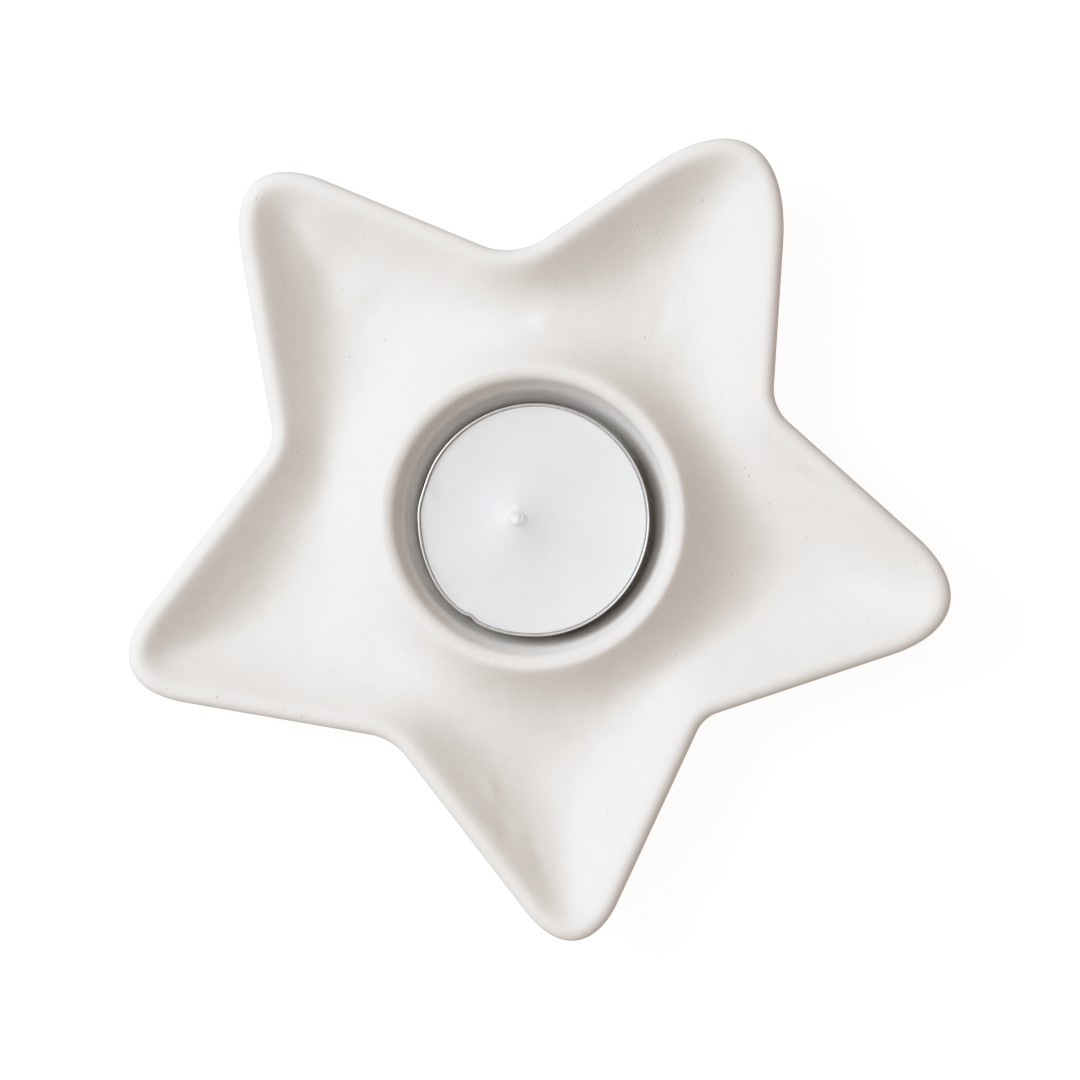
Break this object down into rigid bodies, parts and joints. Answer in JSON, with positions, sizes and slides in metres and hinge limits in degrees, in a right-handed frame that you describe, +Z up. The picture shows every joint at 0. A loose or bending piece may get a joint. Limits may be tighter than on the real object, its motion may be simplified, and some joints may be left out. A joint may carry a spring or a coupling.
{
  "type": "star-shaped ceramic tealight holder with tealight",
  "caption": "Matt off-white ceramic dish shaped as a hand-formed star, with a raised round collar in the middle that holds a tealight in its aluminium cup.",
  "frame": {"origin": "on the flat underside of the dish, on the axis of the round well", "axes": "+Z up out of the well, +Y between the two upper arms, +X towards the right-hand arm"},
  "size_m": [0.1343, 0.131, 0.0207],
  "materials": {
    "bisque": "matte",
    "cup_aluminium": "satin",
    "wax": "satin",
    "wick_cotton": "matte",
    "tinplate": "satin"
  },
  "bodies": {
    "dish": {"star_dish": "bisque"},
    "tealight": {"tealight_cup": "cup_aluminium"},
    "candle": {"tealight_wax": "wax", "wick": "wick_cotton", "wick_sustainer": "tinplate"}
  },
  "joints": [
    {"name": "tealight_lift", "type": "slide", "parent": "dish", "child": "tealight", "axis": [0, 0, 1], "range_m": [0, 0.05]},
    {"name": "candle_lift", "type": "slide", "parent": "tealight", "child": "candle", "axis": [0, 0, 1], "range_m": [0, 0.03]}
  ]
}
